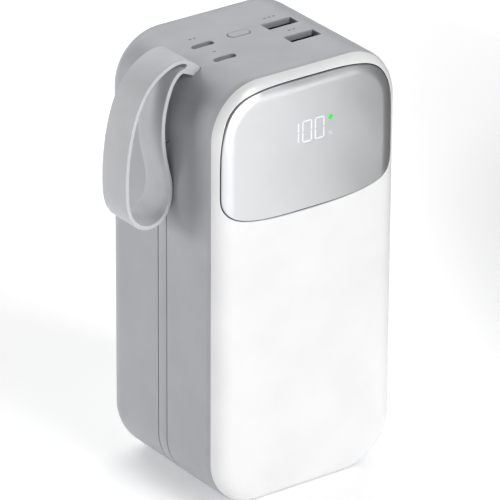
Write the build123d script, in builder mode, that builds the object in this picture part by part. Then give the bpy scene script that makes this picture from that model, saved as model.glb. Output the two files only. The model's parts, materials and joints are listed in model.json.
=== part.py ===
"""An upright power bank with a wrist strap, as an assembly of separate pieces.

The case stands on its base at z = 0, with its front towards -Y and the strap on its left, -X.
Its sockets and power button are in the top. Everything is in millimetres.
"""

import os
from math import cos, pi, radians, sin

from build123d import *

os.makedirs("parts", exist_ok=True)

# ---- Case -------------------------------------------------------------------------------
case_width = 78.0
case_depth = 68.5
case_height = 162.4
corner_radius = 20.0  # of the front outline
rear_edge_radius = 10.4
front_edge_radius = 7.0
wall = 2.2
seam_depth = 4.1  # from the front face back to the seam of the front panel
fit_gap = 0.1  # between a plug-in lip and its wall
seat_gap = 0.2  # between loosely seated parts
fine_corner = 0.5  # of the small pieces

front_y = -case_depth / 2
rear_y = case_depth / 2
side_x = case_width / 2
seam_y = front_y + seam_depth
window_back_y = seam_y - 0.35  # the window's bed stops in front of the seam
ceiling_z = case_height - wall

# ---- Front panel and display window -----------------------------------------------------
panel_skin = 2.6
lip_thickness = 1.3
lip_reach = 3.0  # behind the seam
lip_root = 0.5  # buried in the panel
window_half_width = 35.9
window_top = case_height - 3.7
window_waist = case_height - 38.9  # height of the widest line
window_bottom = case_height - 52.4
window_power_above = 4.6  # superellipse exponents
window_power_below = 3.2
window_thickness = 1.2
window_joint = 0.4  # width of the dark joint round the window
gasket_thickness = 0.2
gasket_ledge = 2.5  # how far the gasket reaches under the window
gasket_recess = 0.35  # how far the joint lies below the surface
panel_depth = wall + fit_gap + lip_thickness  # thickest part of the panel

digits_x, digits_z = 0.9, case_height - 23.2
digit_module_width, digit_module_height, digit_module_depth = 13.0, 11.0, 3.0
light_x, light_radius = 8.9, 1.0
charge_light_z, percent_light_z = digits_z + 2.8, digits_z - 3.2
light_gap = 0.2  # behind the window
display_board_width, display_board_height, display_board_thickness = 36.0, 18.0, 1.0
display_screw_span = 30.0
boss_radius = 2.4
bore_overrun = 0.6
board_corner = 1.5

# ---- Trim band, anchor cover and strap --------------------------------------------------
strap_y = -1.8  # middle of the strap, the band and the cover
band_width = 5.0
band_thickness = 1.0
band_right_top = case_height - 15.4
trim_gap = 0.3  # groove left beside the band and the cover
cover_width, cover_height = 8.4, 14.2
cover_z = case_height - 21.5
cover_corner = 2.0
cover_pocket = 1.5
cover_thickness = 0.8

strap_width = 14.4
strap_thickness = 1.6
strap_lean = 32.0  # degrees from upright, through the rounded shoulder
slot_width = 4.4
slot_end_gap = 0.2
neck_width = 3.9
knuckle_radius = 2.0
knuckle_rise = 1.75  # pivot above the shoulder's surface
running_gap = 0.05
anchor_depth = 6.4  # strap pin below the shoulder's surface
pin_radius = 1.0
bulb_radius = 2.6
# The hanging strap's centre line, as (x, z) from its pivot.
strap_route = [
    (-0.4, 0.9), (-2.8, 3.1), (-5.4, 3.65), (-10.6, 2.5), (-15.4, -0.3), (-19.4, -4.3),
    (-22.3, -9.3), (-25.6, -20.0), (-27.6, -31.5), (-27.9, -40.0), (-25.6, -49.7),
    (-21.4, -53.7), (-17.0, -54.5), (-12.8, -52.3), (-10.4, -47.8), (-9.8, -42.0),
    (-11.1, -35.0), (-12.7, -25.0), (-12.4, -15.0), (-10.4, -7.2), (-7.6, -2.0),
    (-5.0, -0.1), (-1.2, 0.3),
]  # fmt: skip

# ---- Sockets and button -----------------------------------------------------------------
back_row_y = 3.35
front_row_y = -9.95
usb_a_x = 14.4
usb_c_x = -18.5
usb_a_width, usb_a_thickness, usb_a_sheet = 13.1, 5.7, 0.3
usb_c_width, usb_c_thickness, usb_c_sheet = 8.94, 3.2, 0.25
aperture_gap = 0.05  # the case's aperture beyond the socket's mouth
tongue_recess = 1.0
contact_thickness = 0.15
usb_a_tongue_width, usb_a_tongue_thickness = 11.1, 1.84
usb_a_tongue_offset = 1.0
usb_a_corner = 0.6
contact_end = 1.2  # from the tongue's tip down to the contacts
usb_c_tongue_width, usb_c_tongue_thickness = 6.7, 0.7
socket_height = 12.7
socket_base = 3.0
mouth_z = ceiling_z - fit_gap

button_x, button_y = -2.6, 4.1
button_length, button_width = 8.6, 3.9
button_gap = 0.22
button_proud = 0.2
button_travel = 0.6
flange_margin = 1.2
flange_thickness = 1.0
stem_radius = 1.5
switch_size, switch_height = 6.0, 3.5
plunger_radius, plunger_rise = 1.7, 1.3
plunger_room = 0.3  # below the plunger at full press

# ---- Boards, battery and chassis --------------------------------------------------------
rear_row_y = 16.5
inductor_size, inductor_height, inductor_x = 10.0, 5.0, (-18.0, -5.0)
inductor_corner = 2.0
capacitor_radius, capacitor_height, capacitor_x = 3.15, 8.0, (6.0, 13.5, 21.0)
chip_height, chip_corner = 0.9, 0.2
chip_places = ((7.0, -3.5, -8.5), (5.0, 3.5, -1.5), (5.0, -9.0, -1.5))  # side, x and y
board_thickness = 1.6
board_top = mouth_z - socket_height
board_bottom = board_top - board_thickness
board_width = 62.0
board_front_y, board_rear_y = -17.0, 25.0
board_screw_x = 27.5
board_screw_rows = (-14.0, 21.5)

cell_count = 5
cell_width, cell_thickness, cell_height = 60.0, 10.8, 112.0
cell_corner, cell_edge_radius = 3.0, 2.5
pad_thickness = 0.6
base_pad_thickness = 1.0
chassis_wall = 1.4
chassis_floor = wall + 4.8
chassis_corner = 5.0
floor_ease = 0.5  # its edge rounding is this much smaller than its corners
cell_side_gap = 0.4
deck_thickness = 1.4
tab_height = 2.0
tab_width, tab_thickness, tab_span = 6.0, 0.3, 30.0
protection_width, protection_margin, protection_thickness = 46.0, 2.0, 1.0
post_radius = 3.0
post_root = 0.2  # buried in the deck
lead_x, lead_y, lead_shift, lead_radius = 8.0, 18.0, 2.5, 1.3
lead_room = 0.6  # round each lead, where it passes the deck
lead_straight, lead_bend = 0.29, 17.0  # share of its height before a bend, and the bend's radius
ribbon_width, ribbon_thickness, ribbon_bend = 8.0, 0.2, 1.8
screw_radius = 1.0
screw_clearance = 0.1
display_screw, cover_screw = (1.9, 0.8, 2.8), (1.9, 1.1, 9.0)  # head radius and height, length
board_screw, anchor_screw = (2.0, 1.3, 7.0), (2.3, 0.6, 3.6)
head_room = 0.3  # round the anchor screw's head
thread_gap = 0.02  # round a screw in its own pilot hole
floor_rib_thickness = 2.0
floor_rib_spacing = 14.0

cover_plate_thickness = 1.4
vent_width, vent_height, vent_corner = 16.0, 20.0, 3.0
vent_spacing = 1.5  # of their own size
lug_width, lug_height, lug_depth = 4.9, 8.0, 12.0
lug_low_z, lug_high_z = 30.0, case_height - 34.0
lug_heights = (lug_low_z, (lug_low_z + lug_high_z) / 2 + 1, lug_high_z)
lug_screw_inset = 2.3  # from the shell's inner wall

chassis_rear_y = rear_y - wall - seat_gap
stack_depth = cell_count * (cell_thickness + pad_thickness)
stack_rear_y = chassis_rear_y - chassis_wall
chassis_front_y = stack_rear_y - stack_depth
cell_floor = chassis_floor + chassis_wall + base_pad_thickness
cell_top = cell_floor + cell_height
protection_bottom = cell_top + tab_height
protection_top = protection_bottom + protection_thickness
deck_bottom = protection_top + seat_gap
chassis_top = deck_bottom + deck_thickness
chassis_half_width = cell_width / 2 + cell_side_gap + chassis_wall

# The strap's places in its own plane, measured from the centre of the case's left shoulder.
shoulder_x = -(side_x - corner_radius)
shoulder_z = case_height - corner_radius
lean_x, lean_z = -sin(radians(strap_lean)), cos(radians(strap_lean))


def along_lean(distance):
    """The point (x, z) that far from the shoulder's centre, along the strap's neck."""
    return (shoulder_x + lean_x * distance, shoulder_z + lean_z * distance)


pivot_x, pivot_z = along_lean(corner_radius + knuckle_rise)
pin_x, pin_z = along_lean(corner_radius - anchor_depth)


def finish(part, name):
    """Labels a finished piece and writes its file."""
    part.label = name
    export_step(part, f"parts/{name}.step")


def facing_front(y):
    """A sketch plane at that y, with local x along +X, local y along +Z and its normal along -Y."""
    return Plane.XZ.offset(-y)


def case_form(inset):
    """The whole rounded block, shrunk evenly on all sides."""
    with BuildPart() as form:
        with BuildSketch(facing_front(rear_y - inset)):
            with Locations((0, case_height / 2)):
                RectangleRounded(
                    case_width - 2 * inset, case_height - 2 * inset, corner_radius - inset
                )
        extrude(amount=case_depth - 2 * inset)
        rear_face = form.faces().sort_by(Axis.Y)[-1]
        fillet(rear_face.edges(), rear_edge_radius - inset)
        front_face = form.faces().sort_by(Axis.Y)[0]
        fillet(front_face.edges(), front_edge_radius - inset)
    return form.part


def window_prism(grow):
    """A bar with the window's outline, a superellipse that is squarer above its waist than below.

    The outline is x = a |cos t|^(2/n), z = h |sin t|^(2/n), grown by the given amount.
    """
    points = []
    steps = 48
    for step in range(steps):
        turn = 2 * pi * step / steps
        c, s = cos(turn), sin(turn)
        power = window_power_above if s >= 0 else window_power_below
        height = (window_top if s >= 0 else 2 * window_waist - window_bottom) - window_waist + grow
        x = (window_half_width + grow) * abs(c) ** (2 / power) * (1 if c >= 0 else -1)
        z = window_waist + height * abs(s) ** (2 / power) * (1 if s >= 0 else -1)
        points.append((x, z))
    with BuildPart() as prism:
        with BuildSketch(facing_front(window_back_y)):
            with BuildLine():
                Spline(*points, periodic=True)
            make_face()
        extrude(amount=window_back_y - front_y + 1)
    return prism.part


def rounded_block(length, width, corner, low, high, x=0.0, y=0.0):
    """An upright block between two heights, with rounded vertical edges."""
    with BuildPart() as block:
        with BuildSketch(Plane.XY.offset(low)):
            with Locations((x, y)):
                RectangleRounded(length, width, corner)
        extrude(amount=high - low)
    return block.part


def stadium_block(length, width, low, high, x, y):
    """An upright block with round ends along X."""
    with BuildPart() as block:
        with BuildSketch(Plane.XY.offset(low)):
            with Locations((x, y)):
                SlotOverall(length, width)
        extrude(amount=high - low)
    return block.part


def cover_prism(grow, reach):
    """A bar along +X with the anchor cover's outline, from outside the left wall inwards."""
    with BuildPart() as prism:
        with BuildSketch(Plane.YZ.offset(-side_x - 1)):
            with Locations((strap_y, cover_z)):
                RectangleRounded(
                    cover_width + 2 * grow, cover_height + 2 * grow, cover_corner + grow
                )
        extrude(amount=1 + reach)
    return prism.part


def band_region(grow):
    """The space of the trim band: a slab across the case, lower on the left than on the right."""
    left_top = cover_z - cover_height / 2 - (2 * trim_gap - grow)
    right_top = band_right_top + grow
    with BuildPart() as region:
        with BuildSketch(facing_front(strap_y + band_width / 2 + grow)):
            with BuildLine():
                Polyline(
                    (-side_x - 1, -1), (side_x + 1, -1), (side_x + 1, right_top),
                    (0, right_top), (0, left_top), (-side_x - 1, left_top), close=True,
                )  # fmt: skip
            make_face()
        extrude(amount=band_width + 2 * grow)
    return region.part


def screw(plane, head_radius, head_height, length):
    """A pan-head screw whose head sits on the plane, with its shank going the other way."""
    with BuildPart() as fastener:
        with BuildSketch(plane):
            Circle(head_radius)
        extrude(amount=head_height)
        fillet(fastener.faces().sort_by(Axis(plane.origin, plane.z_dir))[-1].edges(), head_height * 0.4)
        with BuildSketch(plane.offset(head_height)):
            for angle in (0, 90):
                with Locations(Rotation(0, 0, angle)):
                    Rectangle(head_radius * 1.1, head_radius * 0.25)
        extrude(amount=-head_height * 0.6, mode=Mode.SUBTRACT)
        with BuildSketch(plane):
            Circle(screw_radius)
        extrude(amount=-length)
        chamfer(
            fastener.faces().sort_by(Axis(plane.origin, plane.z_dir))[0].edges(),
            screw_radius * 0.3,
        )
    return fastener.part


def screw_group(places, head_radius, head_height, length):
    """Several like screws, as separate solids of one node."""
    with BuildPart() as group:
        for plane in places:
            add(screw(plane, head_radius, head_height, length))
    return group.part


# ---- Outer forms shared by the shells ---------------------------------------------------
outer_form = case_form(0)
inner_form = case_form(wall)
lip_form = case_form(wall + fit_gap)
panel_inner_form = case_form(panel_depth)

socket_places = [
    ("usb_a_back", usb_a_x, back_row_y),
    ("usb_a_front", usb_a_x, front_row_y),
    ("usb_c_back", usb_c_x, back_row_y),
    ("usb_c_front", usb_c_x, front_row_y),
]
catch_length, catch_depth, catch_rise = 12.0, 1.2, 0.5
catch_heights = (55.0, 105.0)
catch_y = seam_y + lip_reach - catch_depth / 2


def catch_blocks(grow):
    """The four snap catches on the sides of the front panel's lip."""
    reach = catch_rise + 2 * grow
    with BuildPart() as blocks:
        for side in (-1, 1):
            for height in catch_heights:
                x = side * (side_x - wall - fit_gap - 0.1 + reach / 2)
                with Locations((x, catch_y, height)):
                    Box(reach, catch_depth + 2 * grow, catch_length + 2 * grow)
    return blocks.part


# ---- Main shell: top, base, sides and back in one moulding -------------------------------
with BuildPart() as band_groove:
    add(outer_form)
    add(case_form(band_thickness), mode=Mode.SUBTRACT)
    add(band_region(trim_gap), mode=Mode.INTERSECT)

with BuildPart() as cover_hollow:
    add(outer_form)
    add(case_form(cover_pocket), mode=Mode.SUBTRACT)
    add(cover_prism(trim_gap, corner_radius / 2), mode=Mode.INTERSECT)

with BuildPart() as main_shell:
    add(outer_form)
    add(inner_form, mode=Mode.SUBTRACT)
    split(bisect_by=facing_front(seam_y), keep=Keep.BOTTOM)
    # A straight mouth for the front panel's lip.
    with BuildSketch(facing_front(seam_y)):
        with Locations((0, case_height / 2)):
            RectangleRounded(case_width - 2 * wall, case_height - 2 * wall, corner_radius - wall)
    extrude(amount=-(front_edge_radius - seam_depth), mode=Mode.SUBTRACT)
    add(band_groove.part, mode=Mode.SUBTRACT)
    add(cover_hollow.part, mode=Mode.SUBTRACT)
    add(catch_blocks(fit_gap), mode=Mode.SUBTRACT)
    # Apertures for the sockets and the button.
    for name, x, y in socket_places:
        if name.startswith("usb_a"):
            length = usb_a_width - 2 * (usb_a_sheet - aperture_gap)
            width = usb_a_thickness - 2 * (usb_a_sheet - aperture_gap)
            add(rounded_block(length, width, fine_corner, ceiling_z - 1, case_height + 1, x, y), mode=Mode.SUBTRACT)
        else:
            length = usb_c_width + 2 * aperture_gap
            width = usb_c_thickness - 2 * (usb_c_sheet - 2 * aperture_gap)
            add(stadium_block(length, width, ceiling_z - 1, case_height + 1, x, y), mode=Mode.SUBTRACT)
    add(
        stadium_block(
            button_length + 2 * button_gap, button_width + 2 * button_gap,
            ceiling_z - 1, case_height + 1, button_x, button_y,
        ),
        mode=Mode.SUBTRACT,
    )  # fmt: skip
    # The strap's slot, square to the rounded shoulder.
    with BuildSketch(Plane(origin=(shoulder_x, strap_y, shoulder_z), x_dir=(0, 1, 0), z_dir=(lean_x, 0, lean_z))):
        Rectangle(strap_width + 2 * slot_end_gap, slot_width)
    extrude(amount=corner_radius + 2, mode=Mode.SUBTRACT)
    # The hole of the anchor bracket's screw, in the bottom of the cover's pocket.
    with BuildSketch(Plane.YZ.offset(-side_x)):
        with Locations((strap_y, cover_z)):
            Circle(screw_radius + screw_clearance)
    extrude(amount=wall + 1, mode=Mode.SUBTRACT)
    # Ribs on the floor that carry the chassis.
    with BuildSketch(Plane.XY.offset(wall / 2)):
        with GridLocations(floor_rib_spacing, 1, 3, 1):
            Rectangle(floor_rib_thickness, case_depth - 2 * rear_edge_radius)
    extrude(amount=chassis_floor - wall / 2)
    # Lugs on the side walls that take the cell cover's screws.
    for side in (-1, 1):
        for height in lug_heights:
            lug_x = side * (side_x - wall / 2 - lug_width / 2)
            with Locations((lug_x, chassis_front_y + lug_depth / 2, height)):
                Box(lug_width, lug_depth, lug_height)
            with BuildSketch(facing_front(chassis_front_y)):
                with Locations((side * (side_x - wall - lug_screw_inset), height)):
                    Circle(screw_radius + thread_gap)
            extrude(amount=-(lug_depth - 2), mode=Mode.SUBTRACT)
finish(main_shell.part, "main_shell")

# ---- Trim band ---------------------------------------------------------------------------
with BuildPart() as trim_band:
    add(outer_form)
    add(case_form(band_thickness), mode=Mode.SUBTRACT)
    add(band_region(0), mode=Mode.INTERSECT)
finish(trim_band.part, "trim_band")

# ---- Anchor cover: a flush cap over the screw of the strap's bracket ----------------------
with BuildPart() as anchor_cover:
    add(outer_form)
    add(case_form(cover_pocket), mode=Mode.SUBTRACT)
    add(cover_prism(0, corner_radius / 2), mode=Mode.INTERSECT)
    with BuildSketch(Plane.YZ.offset(-side_x + cover_thickness)):
        with Locations((strap_y, cover_z)):
            Circle(anchor_screw[0] + head_room)
    extrude(amount=wall, mode=Mode.SUBTRACT)
finish(anchor_cover.part, "anchor_cover")

# ---- Front panel -------------------------------------------------------------------------
window_bed = window_thickness + gasket_thickness
panel_back_y = front_y + panel_skin
light_front_y = front_y + window_thickness + light_gap
display_board_front_y = light_front_y + digit_module_depth
display_board_back_y = display_board_front_y + display_board_thickness
display_screw_places = [digits_x - display_screw_span / 2, digits_x + display_screw_span / 2]

with BuildPart() as front_panel:
    add(outer_form)
    split(bisect_by=facing_front(seam_y), keep=Keep.TOP)
    # The lip behind the seam, which plugs into the main shell.
    with BuildSketch(facing_front(seam_y + lip_reach)):
        with Locations((0, case_height / 2)):
            inset = wall + fit_gap
            RectangleRounded(case_width - 2 * inset, case_height - 2 * inset, corner_radius - inset)
    extrude(amount=lip_reach + lip_root)
    add(catch_blocks(0))
    with BuildSketch(facing_front(seam_y + lip_reach)):
        with Locations((0, case_height / 2)):
            RectangleRounded(
                case_width - 2 * panel_depth, case_height - 2 * panel_depth, corner_radius - panel_depth
            )
    extrude(amount=seam_y + lip_reach - panel_back_y, mode=Mode.SUBTRACT)
    # Notches in the lip that clear the lugs of the shell.
    for side in (-1, 1):
        for height in lug_heights:
            with Locations((side * (side_x - wall), seam_y + lip_reach / 2 + lip_root, height)):
                Box(2 * lug_width, lip_reach, lug_height + 2, mode=Mode.SUBTRACT)
    # The window's bed, and the opening behind it for the digits and the two lights.
    with BuildPart(mode=Mode.PRIVATE) as bed:
        add(outer_form)
        add(case_form(window_bed), mode=Mode.SUBTRACT)
        add(window_prism(window_joint), mode=Mode.INTERSECT)
    add(bed.part, mode=Mode.SUBTRACT)
    with BuildSketch(facing_front(panel_back_y)):
        with Locations((digits_x, digits_z)):
            RectangleRounded(digit_module_width + 2 * fit_gap, digit_module_height + 2 * fit_gap, fine_corner)
        for height in (charge_light_z, percent_light_z):
            with Locations((light_x, height)):
                Circle(light_radius + fit_gap)
    extrude(amount=panel_skin, mode=Mode.SUBTRACT)
    # Bosses for the display board's screws.
    for x in display_screw_places:
        with BuildSketch(facing_front(display_board_front_y)):
            with Locations((x, digits_z)):
                Circle(boss_radius)
        extrude(amount=display_board_front_y - panel_back_y)
        with BuildSketch(facing_front(display_board_front_y)):
            with Locations((x, digits_z)):
                Circle(screw_radius + thread_gap)
        extrude(amount=display_board_front_y - panel_back_y + bore_overrun, mode=Mode.SUBTRACT)
finish(front_panel.part, "front_panel")

# ---- Display window and its gasket -------------------------------------------------------
with BuildPart() as display_window:
    add(outer_form)
    add(case_form(window_thickness), mode=Mode.SUBTRACT)
    add(window_prism(0), mode=Mode.INTERSECT)
finish(display_window.part, "display_window")

with BuildPart() as window_gasket:
    add(case_form(gasket_recess))
    add(case_form(window_bed), mode=Mode.SUBTRACT)
    add(window_prism(window_joint), mode=Mode.INTERSECT)
    add(window_prism(-gasket_ledge), mode=Mode.SUBTRACT)
    add(display_window.part, mode=Mode.SUBTRACT)
finish(window_gasket.part, "window_gasket")

# ---- Display board with its digits and lights --------------------------------------------
with BuildPart() as display_board:
    with BuildSketch(facing_front(display_board_back_y)):
        with Locations((digits_x, digits_z)):
            RectangleRounded(display_board_width, display_board_height, board_corner)
        for x in display_screw_places:
            with Locations((x, digits_z)):
                Circle(screw_radius + screw_clearance, mode=Mode.SUBTRACT)
    extrude(amount=display_board_thickness)
finish(display_board.part, "display_board")

with BuildPart() as digit_module:
    with BuildSketch(facing_front(display_board_front_y)):
        with Locations((digits_x, digits_z)):
            RectangleRounded(digit_module_width, digit_module_height, fine_corner)
    extrude(amount=digit_module_depth)
finish(digit_module.part, "digit_module")

for name, height in (("charge_light", charge_light_z), ("percent_light", percent_light_z)):
    with BuildPart() as light:
        with BuildSketch(facing_front(display_board_front_y)):
            with Locations((light_x, height)):
                Circle(light_radius)
        extrude(amount=digit_module_depth)
    finish(light.part, name)

display_screw_planes = [
    Plane(origin=(x, display_board_back_y, digits_z), x_dir=(1, 0, 0), z_dir=(0, 1, 0))
    for x in display_screw_places
]
finish(screw_group(display_screw_planes, *display_screw), "display_screws")

# ---- Chassis: the tray that holds the cells and carries the main board ---------------------
chassis_height = chassis_top - chassis_floor
chassis_depth = chassis_rear_y - chassis_front_y
post_places = [(x, y) for x in (-board_screw_x, board_screw_x) for y in board_screw_rows]
lead_places = [(-lead_x, lead_y), (lead_x, lead_y)]

with BuildPart() as chassis:
    with BuildSketch(facing_front(chassis_rear_y)):
        with Locations((0, chassis_floor + chassis_height / 2)):
            RectangleRounded(2 * chassis_half_width, chassis_height, chassis_corner)
    extrude(amount=chassis_depth)
    rear_face = chassis.faces().sort_by(Axis.Y)[-1]
    fillet(rear_face.edges(), chassis_corner - floor_ease)
    # The cells' bay, open at the front, and under a deck.
    bay_low, bay_high = chassis_floor + chassis_wall, deck_bottom
    with BuildPart(mode=Mode.PRIVATE) as bay:
        with BuildSketch(facing_front(stack_rear_y)):
            with Locations((0, (bay_low + bay_high) / 2)):
                RectangleRounded(
                    2 * (chassis_half_width - chassis_wall), bay_high - bay_low,
                    chassis_corner - chassis_wall,
                )  # fmt: skip
        extrude(amount=stack_depth + 1)
        fillet(
            bay.faces().sort_by(Axis.Y)[-1].edges(), chassis_corner - chassis_wall - floor_ease
        )
    add(bay.part, mode=Mode.SUBTRACT)
    # Posts for the main board, and holes for the battery leads.
    with BuildSketch(Plane.XY.offset(chassis_top - post_root)):
        with Locations(*post_places):
            Circle(post_radius)
    extrude(amount=board_bottom - chassis_top + post_root)
    with BuildSketch(Plane.XY.offset(board_bottom)):
        with Locations(*post_places):
            Circle(screw_radius + thread_gap)
    extrude(amount=-8, mode=Mode.SUBTRACT)
    with BuildSketch(Plane.XY.offset(chassis_top + 1)):
        with Locations(*lead_places):
            Circle(lead_radius + lead_room)
    extrude(amount=-(deck_thickness + 2), mode=Mode.SUBTRACT)
    add(case_form(wall + seat_gap), mode=Mode.INTERSECT)
finish(chassis.part, "chassis")

# ---- Cells, pads and tabs ----------------------------------------------------------------
cell_pitch = cell_thickness + pad_thickness
cell_rears = [stack_rear_y - pad_thickness - step * cell_pitch for step in range(cell_count)]

for step, cell_rear_y in enumerate(cell_rears):
    with BuildPart() as cell:
        with BuildSketch(facing_front(cell_rear_y)):
            with Locations((0, cell_floor + cell_height / 2)):
                RectangleRounded(cell_width, cell_height, cell_corner)
        extrude(amount=cell_thickness)
        ends = cell.faces().sort_by(Axis.Y)
        fillet(ends[0].edges() + ends[-1].edges(), cell_edge_radius)
    finish(cell.part, f"cell_{step + 1}")

with BuildPart() as cell_pads:
    for cell_rear_y in cell_rears:
        with BuildSketch(facing_front(cell_rear_y + pad_thickness)):
            with Locations((0, cell_floor + cell_height / 2)):
                RectangleRounded(cell_width - 12, cell_height - 12, cell_corner)
        extrude(amount=pad_thickness)
finish(cell_pads.part, "cell_pads")

with BuildPart() as base_pad:
    with BuildSketch(Plane.XY.offset(chassis_floor + chassis_wall)):
        with Locations((0, stack_rear_y - stack_depth / 2)):
            Rectangle(cell_width - 14, stack_depth - 8)
    extrude(amount=base_pad_thickness)
finish(base_pad.part, "base_pad")

with BuildPart() as cell_tabs:
    for cell_rear_y in cell_rears:
        with BuildSketch(Plane.XY.offset(cell_top)):
            with Locations((0, cell_rear_y - cell_thickness / 2)):
                with GridLocations(tab_span, 1, 2, 1):
                    Rectangle(tab_width, tab_thickness)
        extrude(amount=tab_height)
finish(cell_tabs.part, "cell_tabs")

with BuildPart() as protection_board:
    with BuildSketch(Plane.XY.offset(protection_bottom)):
        with Locations((0, stack_rear_y - stack_depth / 2)):
            Rectangle(protection_width, stack_depth - 2 * protection_margin)
    extrude(amount=protection_thickness)
finish(protection_board.part, "protection_board")

# ---- Cell cover: the plate across the front of the chassis, screwed to the shell's lugs ----
cover_screw_x = side_x - wall - lug_screw_inset
ear_reach = cover_screw_x + 2.2
cover_plate_front_y = chassis_front_y - cover_plate_thickness
cover_screw_places = [(x, z) for x in (-cover_screw_x, cover_screw_x) for z in lug_heights]
plate_top = max(chassis_top, lug_high_z + lug_height / 2)  # it reaches the highest lugs

with BuildPart() as cell_cover:
    with BuildSketch(facing_front(chassis_front_y)):
        with Locations((0, (chassis_floor + plate_top) / 2)):
            RectangleRounded(2 * chassis_half_width, plate_top - chassis_floor, chassis_corner)
        for height in lug_heights:
            with Locations((0, height)):
                Rectangle(2 * ear_reach, lug_height)
        with Locations(*cover_screw_places):
            Circle(screw_radius + screw_clearance, mode=Mode.SUBTRACT)
        with Locations((0, (chassis_floor + chassis_top) / 2)):
            with GridLocations(vent_spacing * vent_width, vent_spacing * vent_height, 2, 3):
                RectangleRounded(vent_width, vent_height, vent_corner, mode=Mode.SUBTRACT)
    extrude(amount=cover_plate_thickness)
finish(cell_cover.part, "cell_cover")

cover_screw_planes = [
    Plane(origin=(x, cover_plate_front_y, z), x_dir=(1, 0, 0), z_dir=(0, -1, 0))
    for x, z in cover_screw_places
]
finish(screw_group(cover_screw_planes, *cover_screw), "cover_screws")

# ---- Main board and what it carries --------------------------------------------------------
notch_right = pin_x + 0.6  # of the cut-out that the strap's bracket passes
with BuildPart() as main_board:
    with BuildSketch(Plane.XY.offset(board_bottom)):
        with Locations((0, (board_front_y + board_rear_y) / 2)):
            RectangleRounded(board_width, board_rear_y - board_front_y, 2)
        with Locations((notch_right - 5, strap_y)):
            Rectangle(10, strap_width + 7, mode=Mode.SUBTRACT)
        with Locations(*post_places):
            Circle(screw_radius + screw_clearance, mode=Mode.SUBTRACT)
    extrude(amount=board_thickness)
finish(main_board.part, "main_board")

board_screw_planes = [Plane(origin=(x, y, board_top)) for x, y in post_places]
finish(screw_group(board_screw_planes, *board_screw), "board_screws")

with BuildPart() as inductors:
    for x in inductor_x:
        add(
            rounded_block(
                inductor_size, inductor_size, inductor_corner, board_top, board_top + inductor_height, x, rear_row_y
            )
        )
finish(inductors.part, "inductors")

with BuildPart() as capacitors:
    with BuildSketch(Plane.XY.offset(board_top)):
        with Locations(*[(x, rear_row_y) for x in capacitor_x]):
            Circle(capacitor_radius)
    extrude(amount=capacitor_height)
    fillet(capacitors.faces().sort_by(Axis.Z)[-len(capacitor_x) :].edges(), fine_corner)
finish(capacitors.part, "capacitors")

with BuildPart() as chips:
    for length, x, y in chip_places:
        add(rounded_block(length, length, chip_corner, board_top, board_top + chip_height, x, y))
finish(chips.part, "chips")

# ---- Sockets -------------------------------------------------------------------------------
for name, x, y in socket_places:
    wide = name.startswith("usb_a")
    with BuildPart() as shell:
        with BuildSketch(Plane.XY.offset(board_top)):
            with Locations((x, y)):
                if wide:
                    RectangleRounded(usb_a_width, usb_a_thickness, usb_a_corner)
                    RectangleRounded(
                        usb_a_width - 2 * usb_a_sheet, usb_a_thickness - 2 * usb_a_sheet, usb_a_corner - usb_a_sheet,
                        mode=Mode.SUBTRACT,
                    )  # fmt: skip
                else:
                    SlotOverall(usb_c_width, usb_c_thickness)
                    SlotOverall(
                        usb_c_width - 2 * usb_c_sheet, usb_c_thickness - 2 * usb_c_sheet,
                        mode=Mode.SUBTRACT,
                    )  # fmt: skip
        extrude(amount=socket_height)
    finish(shell.part, f"{name}_shell")

    tongue_top = mouth_z - tongue_recess
    tongue_y = y + (usb_a_tongue_offset if wide else 0)
    with BuildPart() as tongue:
        with BuildSketch(Plane.XY.offset(board_top)):
            with Locations((x, y)):
                if wide:
                    RectangleRounded(
                        usb_a_width - 2 * usb_a_sheet, usb_a_thickness - 2 * usb_a_sheet, usb_a_corner - usb_a_sheet
                    )
                else:
                    SlotOverall(usb_c_width - 2 * usb_c_sheet, usb_c_thickness - 2 * usb_c_sheet)
        extrude(amount=socket_base)
        with BuildSketch(Plane.XY.offset(board_top + socket_base)):
            with Locations((x, tongue_y)):
                if wide:
                    Rectangle(usb_a_tongue_width, usb_a_tongue_thickness)
                else:
                    Rectangle(usb_c_tongue_width, usb_c_tongue_thickness)
        extrude(amount=tongue_top - board_top - socket_base)
    finish(tongue.part, f"{name}_tongue")

    count, pitch, strip = (4, 2.5, 1.0) if wide else (12, 0.5, 0.25)
    thickness = usb_a_tongue_thickness if wide else usb_c_tongue_thickness
    sides = (-1,) if wide else (-1, 1)
    with BuildPart() as contacts:
        with BuildSketch(Plane.XY.offset(board_top + socket_base)):
            for side in sides:
                with Locations((x, tongue_y + side * (thickness + contact_thickness) / 2)):
                    with GridLocations(pitch, 1, count, 1):
                        Rectangle(strip, contact_thickness)
        extrude(amount=tongue_top - board_top - socket_base - contact_end)
    finish(contacts.part, f"{name}_contacts")

# ---- Power button and its switch -------------------------------------------------------------
flange_top = ceiling_z - 0.1
switch_top = board_top + switch_height
plunger_top = switch_top + plunger_rise
plunger_hidden = 1.0

with BuildPart() as power_button:
    add(stadium_block(button_length, button_width, flange_top, case_height + button_proud, button_x, button_y))
    fillet(power_button.faces().sort_by(Axis.Z)[-1].edges(), fine_corner)
    add(
        stadium_block(
            button_length + 2 * flange_margin, button_width + 2 * flange_margin,
            flange_top - flange_thickness, flange_top, button_x, button_y,
        )
    )  # fmt: skip
    with BuildSketch(Plane.XY.offset(plunger_top)):
        with Locations((button_x, button_y)):
            Circle(stem_radius)
    extrude(amount=flange_top - flange_thickness - plunger_top)
finish(power_button.part, "power_button")

with BuildPart() as tactile_switch:
    add(rounded_block(switch_size, switch_size, fine_corner, board_top, switch_top, button_x, button_y))
    with BuildSketch(Plane.XY.offset(switch_top)):
        with Locations((button_x, button_y)):
            Circle(plunger_radius + running_gap)
    extrude(amount=-(plunger_hidden + button_travel + plunger_room), mode=Mode.SUBTRACT)
finish(tactile_switch.part, "tactile_switch")

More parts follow.
